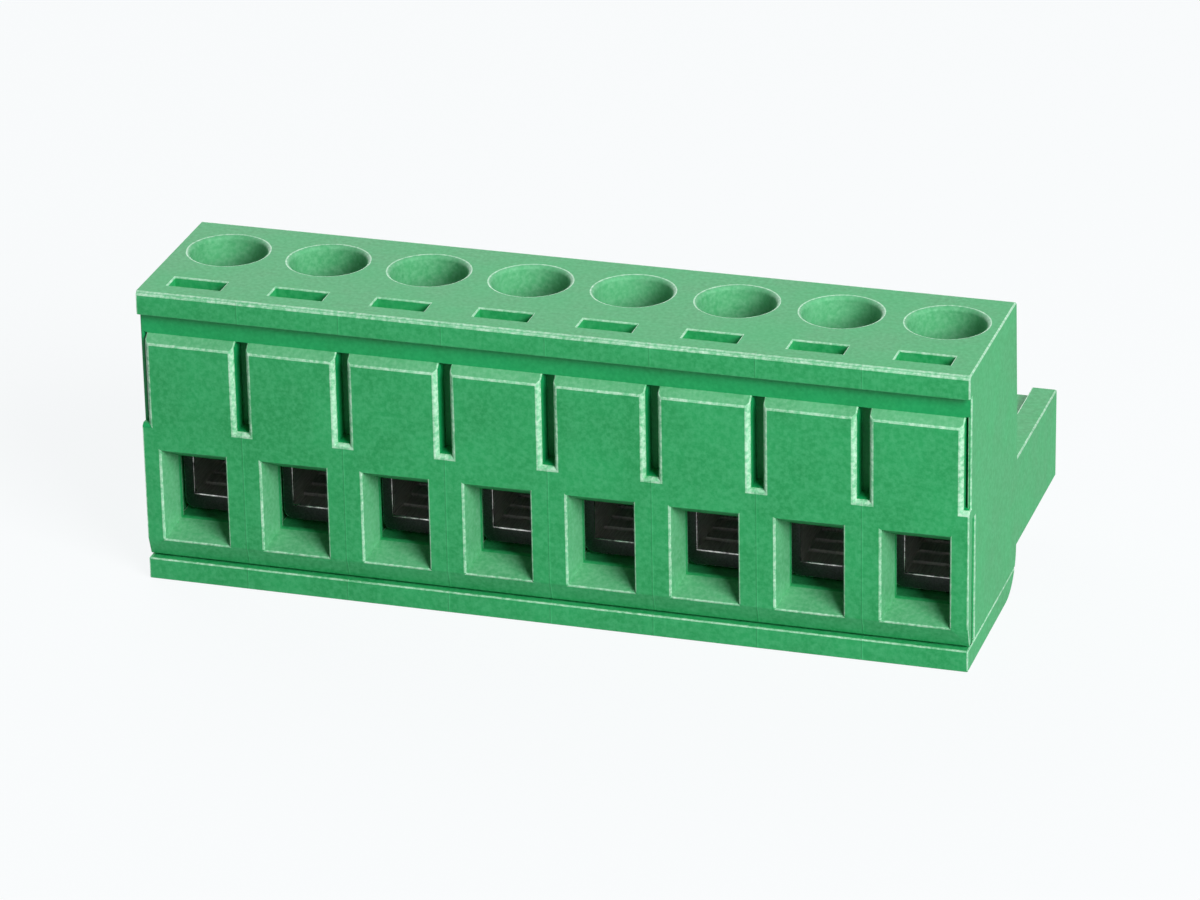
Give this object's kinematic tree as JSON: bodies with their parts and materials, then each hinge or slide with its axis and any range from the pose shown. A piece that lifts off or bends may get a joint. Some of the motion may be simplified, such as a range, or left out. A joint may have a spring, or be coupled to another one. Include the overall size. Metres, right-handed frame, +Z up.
{
  "type": "pluggable terminal block",
  "caption": "Green pluggable screw terminal block: rising-cage wire clamps worked through holes in the top, wire funnels in front and a mating nose behind.",
  "frame": {"origin": "middle of the bounding box's bottom, on the surface the block stands on", "axes": "+X along the row of poles, -Y out of the wire-entry face, +Y out of the mating nose, +Z up along the clamp screws"},
  "size_m": [0.0406, 0.0182, 0.015],
  "materials": {
    "green_housing": "satin moulded polyamide with a fine grain",
    "plated_screw": "bright zinc plating",
    "plated_cage": "nickel plating on folded strip",
    "tinned_contact": "satin tin plating on copper alloy"
  },
  "bodies": {
    "plug_body": {"housing": "green_housing", "base_cover": "green_housing", "contact_1": "tinned_contact", "contact_2": "tinned_contact", "contact_3": "tinned_contact", "contact_4": "tinned_contact", "contact_5": "tinned_contact", "contact_6": "tinned_contact", "contact_7": "tinned_contact", "contact_8": "tinned_contact"},
    "screw_1": {"clamp_screw_1": "plated_screw"},
    "cage_1": {"clamp_cage_1": "plated_cage"},
    "screw_2": {"clamp_screw_2": "plated_screw"},
    "cage_2": {"clamp_cage_2": "plated_cage"},
    "screw_3": {"clamp_screw_3": "plated_screw"},
    "cage_3": {"clamp_cage_3": "plated_cage"},
    "screw_4": {"clamp_screw_4": "plated_screw"},
    "cage_4": {"clamp_cage_4": "plated_cage"},
    "screw_5": {"clamp_screw_5": "plated_screw"},
    "cage_5": {"clamp_cage_5": "plated_cage"},
    "screw_6": {"clamp_screw_6": "plated_screw"},
    "cage_6": {"clamp_cage_6": "plated_cage"},
    "screw_7": {"clamp_screw_7": "plated_screw"},
    "cage_7": {"clamp_cage_7": "plated_cage"},
    "screw_8": {"clamp_screw_8": "plated_screw"},
    "cage_8": {"clamp_cage_8": "plated_cage"}
  },
  "joints": [
    {"name": "screw_1_turn", "type": "hinge", "parent": "plug_body", "child": "screw_1", "pos_m": [-0.01778, -0.0031, 0.0119], "axis": [0, 0, -1], "range_deg": [0, 1440.2]},
    {"name": "cage_1_lift", "type": "slide", "parent": "plug_body", "child": "cage_1", "axis": [0, 0, 1], "range_m": [0, 0.0018]},
    {"name": "screw_2_turn", "type": "hinge", "parent": "plug_body", "child": "screw_2", "pos_m": [-0.0127, -0.0031, 0.0119], "axis": [0, 0, -1], "range_deg": [0, 1440.2]},
    {"name": "cage_2_lift", "type": "slide", "parent": "plug_body", "child": "cage_2", "axis": [0, 0, 1], "range_m": [0, 0.0018]},
    {"name": "screw_3_turn", "type": "hinge", "parent": "plug_body", "child": "screw_3", "pos_m": [-0.00762, -0.0031, 0.0119], "axis": [0, 0, -1], "range_deg": [0, 1440.2]},
    {"name": "cage_3_lift", "type": "slide", "parent": "plug_body", "child": "cage_3", "axis": [0, 0, 1], "range_m": [0, 0.0018]},
    {"name": "screw_4_turn", "type": "hinge", "parent": "plug_body", "child": "screw_4", "pos_m": [-0.00254, -0.0031, 0.0119], "axis": [0, 0, -1], "range_deg": [0, 1440.2]},
    {"name": "cage_4_lift", "type": "slide", "parent": "plug_body", "child": "cage_4", "axis": [0, 0, 1], "range_m": [0, 0.0018]},
    {"name": "screw_5_turn", "type": "hinge", "parent": "plug_body", "child": "screw_5", "pos_m": [0.00254, -0.0031, 0.0119], "axis": [0, 0, -1], "range_deg": [0, 1440.2]},
    {"name": "cage_5_lift", "type": "slide", "parent": "plug_body", "child": "cage_5", "axis": [0, 0, 1], "range_m": [0, 0.0018]},
    {"name": "screw_6_turn", "type": "hinge", "parent": "plug_body", "child": "screw_6", "pos_m": [0.00762, -0.0031, 0.0119], "axis": [0, 0, -1], "range_deg": [0, 1440.2]},
    {"name": "cage_6_lift", "type": "slide", "parent": "plug_body", "child": "cage_6", "axis": [0, 0, 1], "range_m": [0, 0.0018]},
    {"name": "screw_7_turn", "type": "hinge", "parent": "plug_body", "child": "screw_7", "pos_m": [0.0127, -0.0031, 0.0119], "axis": [0, 0, -1], "range_deg": [0, 1440.2]},
    {"name": "cage_7_lift", "type": "slide", "parent": "plug_body", "child": "cage_7", "axis": [0, 0, 1], "range_m": [0, 0.0018]},
    {"name": "screw_8_turn", "type": "hinge", "parent": "plug_body", "child": "screw_8", "pos_m": [0.01778, -0.0031, 0.0119], "axis": [0, 0, -1], "range_deg": [0, 1440.2]},
    {"name": "cage_8_lift", "type": "slide", "parent": "plug_body", "child": "cage_8", "axis": [0, 0, 1], "range_m": [0, 0.0018]}
  ],
  "couplings": [
    {"joint": "screw_1_turn", "follows": "cage_1_lift", "rad_per_m": 13963},
    {"joint": "screw_2_turn", "follows": "cage_2_lift", "rad_per_m": 13963},
    {"joint": "screw_3_turn", "follows": "cage_3_lift", "rad_per_m": 13963},
    {"joint": "screw_4_turn", "follows": "cage_4_lift", "rad_per_m": 13963},
    {"joint": "screw_5_turn", "follows": "cage_5_lift", "rad_per_m": 13963},
    {"joint": "screw_6_turn", "follows": "cage_6_lift", "rad_per_m": 13963},
    {"joint": "screw_7_turn", "follows": "cage_7_lift", "rad_per_m": 13963},
    {"joint": "screw_8_turn", "follows": "cage_8_lift", "rad_per_m": 13963}
  ]
}
